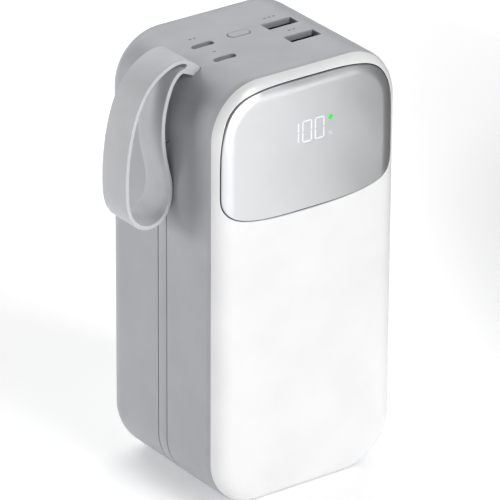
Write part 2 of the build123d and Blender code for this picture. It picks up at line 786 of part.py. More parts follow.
with BuildPart() as switch_plunger:
    with BuildSketch(Plane.XY.offset(switch_top - plunger_hidden)):
        with Locations((button_x, button_y)):
            Circle(plunger_radius)
    extrude(amount=plunger_hidden + plunger_rise)
finish(switch_plunger.part, "switch_plunger")

# ---- Battery leads and the display's ribbon --------------------------------------------------
for name, side in (("positive_lead", -1), ("negative_lead", 1)):
    rise = board_bottom - protection_top
    x = side * lead_x
    with BuildPart() as lead:
        with BuildLine():
            FilletPolyline(
                (x, lead_y, protection_top),
                (x, lead_y, protection_top + lead_straight * rise),
                (x + lead_shift, lead_y, board_bottom - lead_straight * rise),
                (x + lead_shift, lead_y, board_bottom),
                radius=lead_bend,
            )
        with BuildSketch(Plane.XY.offset(protection_top)):
            with Locations((x, lead_y)):
                Circle(lead_radius)
        sweep()
    finish(lead.part, name)

socket_block_depth, socket_block_height, socket_block_width = 2.4, 1.6, 3.0
ribbon_low = digits_z + 3.0
ribbon_high = board_top + socket_block_height + socket_block_width
ribbon_front_y = display_board_back_y + socket_block_height / 2
ribbon_rear_y = board_front_y + 0.4 + socket_block_depth / 2

with BuildPart() as display_socket:
    with Locations((digits_x, display_board_back_y + socket_block_height / 2, ribbon_low - socket_block_width / 2)):
        Box(ribbon_width + 2, socket_block_height, socket_block_width)
finish(display_socket.part, "display_socket")

with BuildPart() as board_socket:
    with Locations((digits_x, ribbon_rear_y, board_top + socket_block_height / 2)):
        Box(ribbon_width + 2, socket_block_depth, socket_block_height)
finish(board_socket.part, "board_socket")

with BuildPart() as display_ribbon:
    with BuildSketch(Plane.YZ.offset(digits_x - ribbon_width / 2)):
        with BuildLine() as ribbon_line:
            FilletPolyline(
                (ribbon_front_y, ribbon_low),
                (ribbon_front_y, ribbon_high),
                (ribbon_rear_y, ribbon_high),
                (ribbon_rear_y, board_top + socket_block_height),
                radius=ribbon_bend,
            )
        trace(line_width=ribbon_thickness)
    extrude(amount=ribbon_width)
finish(display_ribbon.part, "display_ribbon")

# ---- Strap: root, pin, bracket and loop ------------------------------------------------------
strap_front = facing_front(strap_y + strap_width / 2)
strap_turn = 90 + strap_lean

with BuildPart() as strap_root:
    with BuildSketch(strap_front):
        with Locations((pin_x, pin_z)):
            Circle(bulb_radius)
        length = anchor_depth + knuckle_rise
        middle = along_lean(corner_radius - anchor_depth + length / 2)
        with Locations(Location(middle, strap_turn)):
            Rectangle(length, neck_width)
        with Locations((pivot_x, pivot_z)):
            Circle(knuckle_radius + running_gap, mode=Mode.SUBTRACT)
        with Locations((pin_x, pin_z)):
            Circle(pin_radius, mode=Mode.SUBTRACT)
    extrude(amount=strap_width)
finish(strap_root.part, "strap_root")

cheek_thickness = 1.4
cheek_reach, cheek_cut = 2.4, 1.4  # from the pin's axis to the cheeks' sides, and their cut corner
bracket_foot, bracket_low_depth, bracket_high_depth = 6.0, 4.0, 3.2  # of the trunk on the wall
bracket_fork = 5.0  # height of the cheeks' root above the middle of the cover
pin_chamfer = 0.2
pin_length = strap_width + 2 * seat_gap + 2 * cheek_thickness
with BuildPart() as strap_pin:
    with BuildSketch(facing_front(strap_y + pin_length / 2)):
        with Locations((pin_x, pin_z)):
            Circle(pin_radius)
    extrude(amount=pin_length)
    chamfer(strap_pin.faces().sort_by(Axis.Y)[0].edges() + strap_pin.faces().sort_by(Axis.Y)[-1].edges(), pin_chamfer)
finish(strap_pin.part, "strap_pin")

with BuildPart() as strap_bracket:
    with BuildSketch(facing_front(strap_y + pin_length / 2)):
        with BuildLine():
            Polyline(
                (-side_x + wall / 2, cover_z - bracket_foot),
                (-side_x + wall + bracket_high_depth, cover_z - bracket_foot),
                (pin_x + cheek_reach, pin_z - cheek_reach),
                (pin_x + cheek_reach, pin_z + cheek_reach - cheek_cut),
                (pin_x + cheek_reach - cheek_cut, pin_z + cheek_reach),
                (-side_x + wall / 2, pin_z + cheek_reach), close=True,
            )  # fmt: skip
        make_face()
        with Locations((pin_x, pin_z)):
            Circle(pin_radius, mode=Mode.SUBTRACT)
    extrude(amount=pin_length)
    # The space between the cheeks, above the trunk that is screwed to the wall.
    with BuildSketch(facing_front(strap_y + strap_width / 2 + seat_gap)):
        with BuildLine():
            Polyline(
                (-side_x + wall + bracket_low_depth, cover_z - bracket_foot - 1),
                (-side_x + wall + bracket_high_depth, cover_z + bracket_fork),
                (-side_x, cover_z + bracket_fork), (-side_x, case_height), (0, case_height),
                (0, cover_z - bracket_foot - 1), close=True,
            )  # fmt: skip
        make_face()
    extrude(amount=strap_width + 2 * seat_gap, mode=Mode.SUBTRACT)
    with BuildSketch(Plane.YZ.offset(-side_x)):
        with Locations((strap_y, cover_z)):
            Circle(screw_radius + thread_gap)
    extrude(amount=wall + bracket_foot, mode=Mode.SUBTRACT)
    add(inner_form, mode=Mode.INTERSECT)
finish(strap_bracket.part, "strap_bracket")

bracket_screw_plane = Plane(
    origin=(-side_x + cover_pocket, strap_y, cover_z), x_dir=(0, 1, 0), z_dir=(-1, 0, 0)
)
finish(screw_group([bracket_screw_plane], *anchor_screw), "bracket_screw")

with BuildPart() as strap_loop:
    with BuildSketch(strap_front):
        with BuildLine():
            Spline(*[(pivot_x + x, pivot_z + z) for x, z in strap_route])
        trace(line_width=strap_thickness)
        with Locations((pivot_x, pivot_z)):
            Circle(knuckle_radius)
    extrude(amount=strap_width)
finish(strap_loop.part, "strap_loop")
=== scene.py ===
"""The looks of an upright power bank with a wrist strap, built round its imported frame.

Shapes are worked out in millimetres, in the frame's axes, and turned to metres when a mesh is made.
"""

import json
import math

import bmesh
import bpy
import numpy as np
from mathutils import Matrix, Vector


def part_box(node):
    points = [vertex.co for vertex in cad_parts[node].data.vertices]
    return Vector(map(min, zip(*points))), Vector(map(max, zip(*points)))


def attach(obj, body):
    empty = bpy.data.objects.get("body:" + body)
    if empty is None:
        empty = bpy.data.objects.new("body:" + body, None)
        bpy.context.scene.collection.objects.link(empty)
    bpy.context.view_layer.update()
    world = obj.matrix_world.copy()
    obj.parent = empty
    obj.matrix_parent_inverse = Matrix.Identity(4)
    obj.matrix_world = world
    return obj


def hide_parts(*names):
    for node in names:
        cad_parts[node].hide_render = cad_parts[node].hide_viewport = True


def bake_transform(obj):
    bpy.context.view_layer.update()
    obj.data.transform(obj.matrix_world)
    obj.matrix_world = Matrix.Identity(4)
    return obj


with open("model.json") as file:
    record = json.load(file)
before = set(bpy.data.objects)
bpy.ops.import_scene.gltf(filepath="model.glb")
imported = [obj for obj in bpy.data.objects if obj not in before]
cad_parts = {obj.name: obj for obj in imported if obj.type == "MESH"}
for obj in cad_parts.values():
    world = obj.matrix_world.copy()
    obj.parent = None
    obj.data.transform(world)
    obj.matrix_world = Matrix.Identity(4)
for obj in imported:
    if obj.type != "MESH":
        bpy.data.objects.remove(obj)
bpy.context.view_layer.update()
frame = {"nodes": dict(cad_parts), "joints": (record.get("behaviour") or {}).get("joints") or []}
MM = 0.001


def box_mm(node):
    """The lowest and highest corners of a node of the frame, in millimetres."""
    low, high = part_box(node)
    return np.array(low) / MM, np.array(high) / MM


# ---- Measures --------------------------------------------------------------------------
shell_low, shell_high = box_mm("main_shell")
panel_low = box_mm("front_panel")[0]
window_low, window_high = box_mm("display_window")
band_low, band_high = box_mm("trim_band")
cover_low, cover_high = box_mm("anchor_cover")
button_low, button_high = box_mm("power_button")
loop_low, loop_high = box_mm("strap_loop")
digits_low, digits_high = box_mm("digit_module")
light_low, light_high = box_mm("charge_light")
percent_low, percent_high = box_mm("percent_light")

half_width = shell_high[0]
case_height = shell_high[2]
front_y, seam_y, rear_y = panel_low[1], shell_low[1], shell_high[1]
corner_radius = 20.0
rear_edge = 10.4
wall = 2.2
front_edge_inset, front_edge_depth = 7.7, 6.5  # the front edge is an elliptical round
waist_z = 123.5
window_half_width = window_high[0]
window_power_above, window_power_below = 4.6, 3.2
window_thickness = 1.2
joint_width = 0.46  # of the dark joint round the window
window_sink = 0.04  # keeps the lit digits within the case's depth
seam_edge = 0.06
bed_depth = 1.4
strap_y = (loop_low[1] + loop_high[1]) / 2
strap_width = loop_high[1] - loop_low[1]
trim_gap = 0.3
groove_depth = 1.7  # of the channel that holds the trim band
lean = math.radians(32)
shoulder = np.array([-(half_width - corner_radius), case_height - corner_radius])
lean_axis = np.array([-math.sin(lean), math.cos(lean)])
swing = next(j for j in frame["joints"] if j["name"] == "strap_swing")
pivot = np.array([swing["pos_m"][0], swing["pos_m"][2]]) / MM


# ---- Meshes ----------------------------------------------------------------------------
def make_mesh(name, points, quads, caps=()):
    """An object from points in millimetres, quads as rows of four indices, and other faces as lists."""
    mesh = bpy.data.meshes.new(name)
    mesh.from_pydata((points * MM).tolist(), [], quads.tolist() + [list(face) for face in caps])
    mesh.validate()
    piece = bpy.data.objects.new(name, mesh)
    bpy.context.scene.collection.objects.link(piece)
    return piece


def volume_sign(rows, wrap):
    """Which way a grid's quads face: the sign of the sum of p . (a x b) over its quads' halves."""
    after = np.roll(rows, -1, axis=1) if wrap else rows[:, 1:]
    here = rows if wrap else rows[:, :-1]
    a, b, c, d = here[:-1], after[:-1], after[1:], here[1:]
    first = np.einsum("ijk,ijk->", a, np.cross(b, c))
    second = np.einsum("ijk,ijk->", a, np.cross(c, d))
    return math.copysign(1, first + second)


def surface(name, rows, wrap_rows=False, sharp=40):
    """A closed skin over rows of points, each row a ring.

    Neighbouring rings are joined by quads. The first and last rings are closed with a fan to
    their middle point, or joined to each other when wrap_rows is set.
    """
    count, size = rows.shape[:2]
    centre = rows.mean(axis=(0, 1))
    grid = np.arange(count * size).reshape(count, size)
    if wrap_rows:
        grid = np.vstack([grid, grid[:1]])
        looped = np.concatenate([rows, rows[:1]])
    else:
        looped = rows
    ahead = np.roll(grid, -1, axis=1)
    quads = np.stack([grid[:-1], ahead[:-1], ahead[1:], grid[1:]], axis=-1).reshape(-1, 4)
    flip = volume_sign(looped - centre, True) < 0
    points = rows.reshape(-1, 3)
    fans = []
    if not wrap_rows:
        first, last = rows[0].mean(axis=0), rows[-1].mean(axis=0)
        points = np.vstack([points, first, last])
        start = np.stack([np.full(size, count * size), ahead[0], grid[0]], axis=-1)
        end = np.stack([np.full(size, count * size + 1), grid[-1], ahead[-1]], axis=-1)
        fans = np.vstack([start, end])
        fans = (fans[:, ::-1] if flip else fans).tolist()
    quads = quads[:, ::-1] if flip else quads
    piece = make_mesh(name, points, quads, fans)
    smooth(piece, sharp)
    return piece


def smooth(piece, sharp=40):
    """Smooth shading, with edges sharper than the angle in degrees left crisp."""
    piece.data.shade_smooth()
    piece.data.set_sharp_from_angle(angle=math.radians(sharp))


def cut(piece, cutters):
    """Takes the cutters' shapes out of a piece, and removes the cutters."""
    for cutter in cutters:
        tool = piece.modifiers.new("cut", "BOOLEAN")
        tool.object = cutter
        tool.operation = "DIFFERENCE"
        tool.solver = "EXACT"
    seen = bpy.context.evaluated_depsgraph_get()
    result = bpy.data.meshes.new_from_object(piece.evaluated_get(seen))
    piece.modifiers.clear()
    piece.data = result
    for cutter in cutters:
        bpy.data.objects.remove(cutter)
    smooth(piece)


def rounded(half_x, half_y, radius, steps=10):
    """A rectangle with round corners, as points: corner centre + radius * (cos, sin)."""
    turn = np.linspace(0, math.pi / 2, steps)
    angles = np.concatenate([turn + quarter * math.pi / 2 for quarter in range(4)])
    side_x = np.repeat([1, -1, -1, 1], steps)
    side_y = np.repeat([1, 1, -1, -1], steps)
    x = side_x * (half_x - radius) + radius * np.cos(angles)
    y = side_y * (half_y - radius) + radius * np.sin(angles)
    return np.stack([x, y], axis=-1)


def upright_stack(name, x, y, half_x, half_y, radius, levels, steps=10):
    """A stack of level rounded rectangles, given as (growth, height) from bottom to top."""
    rows = []
    for grow, z in levels:
        ring = rounded(half_x + grow, half_y + grow, max(radius + grow, 0.02), steps)
        rows.append(np.column_stack([ring + (x, y), np.full(len(ring), z)]))
    return surface(name, np.array(rows), sharp=35)


# ---- The case's form -------------------------------------------------------------------
# The front outline is a skeleton rectangle plus (corner_radius - inset) along a unit normal. A number
# from 0 to 8 goes round it: right side, corner, top, corner, left side, corner, base, corner.
skeleton_x = half_width - corner_radius
skeleton_z = case_height / 2 - corner_radius
STOPS = np.arange(9)


def outline(place, inset, scale=1.0):
    """The point (x, z) of the case's outline at a place round it, drawn in by the inset."""
    place = np.mod(place, 8)
    signs_x = np.array([1, 1, 1, -1, -1, -1, -1, 1, 1])
    signs_z = np.array([-1, 1, 1, 1, 1, -1, -1, -1, -1])
    angle = np.radians(np.interp(place, STOPS, [0, 0, 90, 90, 180, 180, 270, 270, 360]))
    x = np.interp(place, STOPS, signs_x * skeleton_x)
    z = np.interp(place, STOPS, signs_z * skeleton_z)
    reach = corner_radius - inset
    return (x + reach * np.cos(angle)) * scale, case_height / 2 + (z + reach * np.sin(angle)) * scale


def places_round(side=64, corner=30, top=36, extra=()):
    """Places round the outline, with more of them where it turns."""
    counts = [side, corner, top, corner, side, corner, top, corner]
    steps = [start + np.arange(count) / count for start, count in enumerate(counts)]
    return np.unique(np.round(np.concatenate(steps + [np.array(extra)]), 6))


def inset_of(x, z):
    """How far a point lies inside the case's outline."""
    over_x = np.abs(x) - skeleton_x
    over_z = np.abs(z - case_height / 2) - skeleton_z
    outside = np.hypot(np.maximum(over_x, 0), np.maximum(over_z, 0))
    return corner_radius - outside - np.minimum(np.maximum(over_x, over_z), 0)


def front_depth(inset):
    """Depth of the front face behind its foremost plane: a quarter ellipse near the edge, then flat."""
    lift = np.clip(1 - inset / front_edge_inset, 0, 1)
    return front_edge_depth * (1 - np.sqrt(1 - lift**2))


def edge_inset(depth):
    """The same quarter ellipse the other way: the outline's inset at a depth behind the front plane."""
    lift = np.clip(1 - depth / front_edge_depth, 0, 1)
    return front_edge_inset * (1 - np.sqrt(1 - lift**2))


def window_rim(angle, grow=0.0):
    """The window's outline about the middle of its widest line: a superellipse in polar form."""
    above = np.sin(angle) >= 0
    power = np.where(above, window_power_above, window_power_below)
    tall = np.where(above, window_high[2] - waist_z, waist_z - window_low[2])
    along = np.abs(np.cos(angle) / window_half_width) ** power
    across = np.abs(np.sin(angle) / tall) ** power
    reach = (along + across) ** (-1 / power) + grow
    return reach * np.cos(angle), waist_z + reach * np.sin(angle)


def on_front(x, z, below=0.0):
    """Points on the front face at (x, z), sunk below its skin by the given depth."""
    return np.stack([x, front_y + front_depth(inset_of(x, z)) + below, z], axis=-1)


def ring_at(x, y, z):
    """A ring of points from arrays x and z and one depth y."""
    return np.stack([x, np.full_like(x, y), z], axis=-1)


seam_inset = edge_inset(seam_y - front_y)
band_left = 4 + (case_height / 2 + skeleton_z - (cover_low[2] - 2 * trim_gap)) / (2 * skeleton_z)
band_right = 1 + math.asin((band_high[2] - case_height / 2 - skeleton_z) / corner_radius) / (math.pi / 2)


def build_shell():
    """The grey shell: the outline carried back along the sides, round the rear edge and over the back.

    Each ring is the outline at an inset and a depth. A channel for the trim band is the same rings
    with an extra inset, on the left side, the base and the right side only.
    """
    steep = 0.002  # length of the channel's steep end walls, round the outline
    groove_left = band_left - trim_gap / (2 * skeleton_z)
    groove_right = band_right + trim_gap / corner_radius / (math.pi / 2)
    ends = [groove_left - steep, groove_left, groove_right, groove_right + steep]
    places = places_round(extra=ends)
    in_channel = (places >= groove_left) | (places <= groove_right)
    rings = []

    def add(inset, y, channel=0.0, scale=1.0):
        x, z = outline(places, inset + channel * in_channel, scale)
        rings.append(ring_at(x, y, z))

    # Inside: the back, the inner rear edge, and the walls forward to the mouth.
    inner_rear = rear_y - wall
    inner_edge = rear_edge - wall
    add(rear_edge, inner_rear, scale=0.3)
    for turn in np.linspace(0, math.pi / 2, 8):
        add(rear_edge - inner_edge * math.sin(turn), inner_rear - inner_edge * (1 - math.cos(turn)))
    add(wall, seam_y + 2)
    add(wall, seam_y)
    # Outside: the seam's edge, the rest of the elliptical front edge, and the sides.
    add(seam_inset + seam_edge, seam_y)
    add(edge_inset(seam_y + seam_edge - front_y), seam_y + seam_edge)
    for y in np.linspace(seam_y + 0.4, front_y + front_edge_depth, 10):
        add(edge_inset(y - front_y), y)
    # The channel's softened edge, as (distance across it, depth).
    lips = [(-0.12, 0.0), (-0.03, 0.02), (0.0, 0.1), (0.02, groove_depth)]
    low_lip, high_lip = band_low[1] - trim_gap, band_high[1] + trim_gap
    for y in np.linspace(front_y + front_edge_depth + 2, low_lip - 0.6, 10):
        add(0, y)
    for shift, channel in lips:
        add(0, low_lip + shift, channel)
    add(0, strap_y, groove_depth)
    for shift, channel in reversed(lips):
        add(0, high_lip - shift, channel)
    for y in np.linspace(high_lip + 0.6, rear_y - rear_edge, 12):
        add(0, y)
    for turn in np.linspace(0, math.pi / 2, 26)[1:]:
        add(rear_edge * (1 - math.cos(turn)), rear_y - rear_edge * (1 - math.sin(turn)))
    for scale in (0.98, 0.9, 0.7, 0.4, 0.15):
        add(rear_edge, rear_y, scale=scale)
    return surface("case_shell", np.array(rings))


def cutter_stack(name, x, y, half_x, half_y, radius, low):
    """A cutter for a mouth in the top face, flared by a small chamfer at the surface."""
    chamfer = 0.16
    levels = [(0, low), (0, case_height - chamfer), (chamfer, case_height), (chamfer, case_height + 1)]
    return upright_stack(name, x, y, half_x, half_y, radius, levels)


def side_drop(z):
    """How far the left side has curved in at a height, above the start of the rounded shoulder."""
    rise = np.clip(z - shoulder[1], 0, corner_radius)
    return corner_radius - np.sqrt(corner_radius**2 - rise**2)


def side_stack(name, half_y, half_z, radius, levels):
    """Rounded rectangles on the left side, given as (growth, depth below the side's skin)."""
    middle_y, middle_z = strap_y, (cover_low[2] + cover_high[2]) / 2
    rows = []
    for grow, depth in levels:
        ring = rounded(half_y + grow, half_z + grow, max(radius + grow, 0.1), 12)
        y, z = middle_y + ring[:, 0], middle_z + ring[:, 1]
        rows.append(np.stack([-half_width + side_drop(z) + depth, y, z], axis=-1))
    return surface(name, np.array(rows), sharp=35)


def build_window():
    """The window: rings from its middle out to its superellipse rim, following the front's form."""
    places = places_round(side=150, corner=36, top=60)
    x, z = outline(places, seam_inset)
    angle = np.arctan2(z - waist_z, x)
    shares = np.concatenate([[0.03, 0.3, 0.6, 0.78], np.linspace(0.84, 0.99, 22)])
    rim_radius = 0.3

    def ring(grow, below, share=1.0):
        rim_x, rim_z = window_rim(angle, grow)
        return on_front(rim_x * share, waist_z + (rim_z - waist_z) * share, below + window_sink)

    rows = [ring(-rim_radius, 0, share) for share in shares]
    for turn in np.linspace(0, math.pi / 2, 6):
        rows.append(ring(-rim_radius * (1 - math.sin(turn)), rim_radius * (1 - math.cos(turn))))
    rows += [ring(0, window_thickness), ring(0, window_thickness, 0.9), ring(0, window_thickness, 0.3)]
    return surface("window_lens", np.array(rows), sharp=60)


def build_gasket():
    """The dark joint: a closed ring that fills the gap round the window, just below the surface."""
    places = places_round(side=150, corner=36, top=60)
    x, z = outline(places, seam_inset)
    angle = np.arctan2(z - waist_z, x)
    slack, recess = 0.01, 0.6
    corners = [
        (slack, recess), (joint_width - slack, recess),
        (joint_width - slack, bed_depth - slack), (slack, bed_depth - slack),
    ]  # fmt: skip
    rows = [on_front(*window_rim(angle, grow), below) for grow, below in corners]
    return surface("window_joint", np.array(rows), wrap_rows=True)


def build_panel():
    """The white front: from the window's bed, over its rim, across the front to the seam, and its inside.

    Between the rim and the outline each point is rim + share * (outline - rim), where the shares
    crowd towards the outline on the long way down to the base.
    """
    places = places_round(side=150, corner=36, top=60)
    edge_x, edge_z = outline(places, seam_inset)
    angle = np.arctan2(edge_z - waist_z, edge_x)
    rim_radius = 0.28

    def at_rim(grow, below, share=1.0):
        x, z = window_rim(angle, grow)
        return on_front(x * share, waist_z + (z - waist_z) * share, below)

    rows = [at_rim(joint_width, bed_depth, share) for share in (0.1, 0.6, 0.9, 1.0)]
    for turn in np.linspace(0, math.pi / 2, 6):
        rows.append(
            at_rim(joint_width + rim_radius * (1 - math.cos(turn)), rim_radius * (1 - math.sin(turn)))
        )
    rim_x, rim_z = window_rim(angle, joint_width + rim_radius)
    reach = np.hypot(edge_x - rim_x, edge_z - rim_z)
    crowding = 1 + 2.8 * np.clip((reach - 4) / 80, 0, 1)
    for step in np.linspace(0, 1, 60)[1:]:
        share = 1 - (1 - step) ** crowding
        rows.append(on_front(rim_x + share * (edge_x - rim_x), rim_z + share * (edge_z - rim_z)))
    rows[-1] = ring_at(edge_x, seam_y - seam_edge, edge_z)
    lip_outer, lip_inner, lip_end = wall + 0.1, wall + 1.4, seam_y + 3
    skin_back = front_y + 2.6
    for inset, y, scale in (
        (seam_inset + seam_edge, seam_y, 1), (lip_outer, seam_y, 1), (lip_outer, lip_end, 1),
        (lip_inner, lip_end, 1), (lip_inner, skin_back, 1), (lip_inner, skin_back, 0.5),
    ):  # fmt: skip
        x, z = outline(places, inset, scale)
        rows.append(ring_at(x, y, z))
    return surface("front_face", np.array(rows))


def build_band():
    """The trim band: a rounded bar's section carried round the left side, the base and the right."""
    places = np.concatenate([np.linspace(band_left, 8, 220), np.linspace(8, 8 + band_right, 70)[1:]])
    half, depth, edge = (band_high[1] - band_low[1]) / 2 - 0.12, 0.95, 0.14
    section = [(0, 0)]
    for turn in np.linspace(0, math.pi / 2, 4):
        section.append((half - edge * (1 - math.sin(turn)), edge * (1 - math.cos(turn))))
    section += [(half, depth), (0, depth), (-half, depth)]
    for turn in np.linspace(math.pi / 2, 0, 4):
        section.append((-half + edge * (1 - math.sin(turn)), edge * (1 - math.cos(turn))))
    rows = []
    for across, inset in section:
        x, z = outline(places, inset)
        rows.append(ring_at(x, strap_y + across, z))
    return surface("side_band", np.swapaxes(np.array(rows), 0, 1), sharp=50)


# ---- The strap -------------------------------------------------------------------------
# The hanging loop's middle line, as (x, z) from its pivot.
strap_route = [
    (-0.4, 0.9), (-2.8, 3.1), (-5.4, 3.65), (-10.6, 2.5), (-15.4, -0.3), (-19.4, -4.3),
    (-22.4, -9.3), (-25.9, -20.0), (-27.6, -31.5), (-27.87, -41.0), (-26.2, -49.8),
    (-22.1, -54.2), (-17.2, -55.0), (-12.8, -52.6), (-10.4, -47.8), (-9.8, -42.0),
    (-11.1, -35.0), (-12.7, -25.0), (-12.4, -15.0), (-10.4, -7.2), (-7.6, -2.0),
    (-5.0, -0.1), (-1.2, 0.3),
]  # fmt: skip
strap_thickness = 1.6
# The neck's two sides, from the slot up to where the loop's two strands part, from the pivot.
# The last pair lies inside the loop, so no crease shows between them.
neck_sides = [
    ((-1.05, -2.4), (2.45, -0.4)), ((-1.25, -2.2), (2.5, -0.1)), ((-1.8, -2.0), (2.0, 0.5)),
    ((-2.6, -1.6), (1.2, 1.1)), ((-3.3, -1.3), (0.1, 1.85)), ((-3.95, -1.1), (-0.8, 2.45)),
    ((-4.25, -0.75), (-1.35, 2.7)),
]  # fmt: skip


def spline(points, count):
    """Evenly spaced points and unit tangents along a natural cubic spline through the given points.

    The second derivatives M solve h0 M0 + 2 (h0 + h1) M1 + h1 M2 = 6 (slope1 - slope0).
    """
    points = np.array(points, float)
    knots = np.concatenate([[0], np.cumsum(np.hypot(*np.diff(points, axis=0).T))])
    spans = np.diff(knots)
    slopes = np.diff(points, axis=0) / spans[:, None]
    size = len(points)
    system = np.eye(size)
    inner = np.arange(1, size - 1)
    system[inner, inner - 1], system[inner, inner + 1] = spans[:-1], spans[1:]
    system[inner, inner] = 2 * (spans[:-1] + spans[1:])
    target = np.zeros_like(points)
    target[1:-1] = 6 * np.diff(slopes, axis=0)
    bend = np.linalg.solve(system, target)
    at = np.linspace(0, knots[-1], count)
    span = np.clip(np.searchsorted(knots, at, side="right") - 1, 0, size - 2)
    left, right = (at - knots[span])[:, None], (knots[span + 1] - at)[:, None]
    width = spans[span][:, None]
    place = (bend[span] * right**3 + bend[span + 1] * left**3) / (6 * width)
    place += (points[span] / width - bend[span] * width / 6) * right
    place += (points[span + 1] / width - bend[span + 1] * width / 6) * left
    tangent = (bend[span + 1] * left**2 - bend[span] * right**2) / (2 * width)
    tangent += slopes[span] - (bend[span + 1] - bend[span]) * width / 6
    return place, tangent / np.hypot(*tangent.T)[:, None]


def strap_rows(inner, outer, tuck=0.0):
    """Points round the strap's section at each station, from its inner to its outer side.

    The section is a rectangle with round corners, strap_width less a tuck at each end along Y, and
    rows go round it.
    """
    half, edge = strap_width / 2 - tuck, 0.36
    thick = np.hypot(*(outer - inner).T)
    direction = (outer - inner) / thick[:, None]
    section = []
    for side in (1, -1):
        turns = np.linspace(0, math.pi / 2, 5)
        near = [(0, edge * (1 - math.cos(t)), half - edge * (1 - math.sin(t))) for t in turns]
        far = [(1, -edge * (1 - math.cos(t)), half - edge * (1 - math.sin(t))) for t in turns[::-1]]
        path = near + [(0.5, 0, half)] + far + [(1, 0, half / 2)]
        path = [(share, shift, side * y) for share, shift, y in path]
        section += path if side == 1 else path[-2::-1] + [(0, 0, -half / 2), (0, 0, half / 2)]
    rows = []
    for share, shift, y in section:
        place = inner + direction * (share * thick + shift)[:, None] + pivot
        rows.append(np.stack([place[:, 0], np.full(len(place), strap_y + y), place[:, 1]], axis=-1))
    return np.array(rows)


def build_loop():
    """The strap's loop: its section carried round, thicker where its two strands meet at the neck."""
    stations, head_radius = 420, 4.6  # the two strands are apart beyond the head
    middle, tangent = spline(strap_route, stations)
    normal = np.stack([tangent[:, 1], -tangent[:, 0]], axis=-1)
    clear = np.hypot(*middle.T) > head_radius
    middle, normal = middle[clear], normal[clear]
    inner, outer = middle - normal * strap_thickness / 2, middle + normal * strap_thickness / 2
    if np.abs(np.diff(inner[:, 0])).sum() > np.abs(np.diff(outer[:, 0])).sum():
        inner, outer = outer, inner
    low, high = np.array(neck_sides[-2])
    share = np.linspace(0, 1, 9)[:, None]
    closing_outer = low + (high - low) * share
    # The round end of the opening, between the strands.
    nose = np.array([inner[-1], (-3.35, 1.2), (-3.05, 1.75), (-3.2, 2.2), inner[0]])
    closing_inner, _ = spline(nose, 11)
    closing_inner = closing_inner[1:-1]
    rows = strap_rows(np.vstack([inner, closing_inner]), np.vstack([outer, closing_outer]))
    return surface("wrist_loop", rows, wrap_rows=True, sharp=60)


def build_neck():
    """The strap's neck: the same section, carried from inside the slot to where the strands part."""
    sides = np.array(neck_sides)
    left, _ = spline(sides[:, 0], 24)
    right, _ = spline(sides[:, 1], 24)
    along = pivot - shoulder
    along = along / np.hypot(*along)
    across = np.array([along[1], -along[0]])
    neck_half, foot, mouth = 1.95, -7.0, -2.2  # in the slot, along its line from the pivot
    deep = np.array([foot, mouth])[:, None] * along
    left = np.vstack([deep - neck_half * across, left])
    right = np.vstack([deep + neck_half * across, right])
    return surface("strap_neck", np.swapaxes(strap_rows(left, right, tuck=0.02), 0, 1), sharp=50)


# ---- Small flat shapes -----------------------------------------------------------------
def flat_shapes(name, outlines, plane, low, high):
    """Thin prisms over equal outlines of shape (shapes, corners, 2), on the top face or the front."""
    outlines = np.array(outlines, float)
    shapes, corners = outlines.shape[:2]
    ends = [np.full((shapes, corners, 1), low), np.full((shapes, corners, 1), high)]
    if plane == "top":
        parts = [np.concatenate([outlines, end], axis=-1) for end in ends]
    else:
        parts = [np.concatenate([outlines[..., :1], end, outlines[..., 1:]], axis=-1) for end in ends]
    points = np.concatenate(parts, axis=1).reshape(-1, 3)
    base = (np.arange(shapes) * 2 * corners)[:, None] + np.arange(corners)
    ahead = np.roll(base, -1, axis=1)
    quads = np.stack([base, ahead, ahead + corners, base + corners], axis=-1).reshape(-1, 4)
    lids = base[:, ::-1].tolist() + (base + corners).tolist()
    piece = make_mesh(name, points, quads, lids)
    outward(piece)
    return piece


def outward(piece):
    """Turns a closed mesh's faces outwards."""
    work = bmesh.new()
    work.from_mesh(piece.data)
    bmesh.ops.recalc_face_normals(work, faces=work.faces)
    work.to_mesh(piece.data)
    work.free()


def bar(x, z, length, width, upright):
    """A display segment: a bar with pointed ends, as six corners about its middle."""
    half, side = length / 2, width / 2
    shoulder_at = half - side
    corners = [
        (half, 0), (shoulder_at, side), (-shoulder_at, side),
        (-half, 0), (-shoulder_at, -side), (shoulder_at, -side),
    ]  # fmt: skip
    return [(x + (b if upright else a), z + (a if upright else b)) for a, b in corners]


def disc(x, z, radius, steps=28):
    """A disc's corners."""
    turns = np.arange(steps) * 2 * math.pi / steps
    return np.stack([x + radius * np.cos(turns), z + radius * np.sin(turns)], axis=-1)


# ---- Pieces ----------------------------------------------------------------------------
def leaning_stack(name, half_across, half_y, radius, levels):
    """Rounded rectangles square to the strap's leaning line, as (growth, distance from the shoulder)."""
    across = np.array([lean_axis[1], -lean_axis[0]])
    rows = []
    for grow, far in levels:
        ring = rounded(half_across + grow, half_y + grow, radius + grow, 10)
        place = shoulder + lean_axis * far + across * ring[:, :1]
        rows.append(np.stack([place[:, 0], strap_y + ring[:, 1], place[:, 1]], axis=-1))
    return surface(name, np.array(rows), sharp=35)


def box_centre(node):
    """The middle of a node's box in plan."""
    low, high = box_mm(node)
    return (low + high)[:2] / 2


flange = 1.2
button_gap = 0.22
button_middle = (button_low + button_high)[:2] / 2
button_half = (button_high - button_low)[:2] / 2 - flange
slot_half_across, slot_half_y = 2.2, strap_width / 2 + 0.2
cover_half_y = (cover_high[1] - cover_low[1]) / 2
cover_half_z = (cover_high[2] - cover_low[2]) / 2
cover_corner, cover_depth = 2.0, 1.4
wide_mouth, narrow_mouth = (6.3, 2.6, 0.35), (4.52, 1.45, 1.44)  # half length, half width, corner


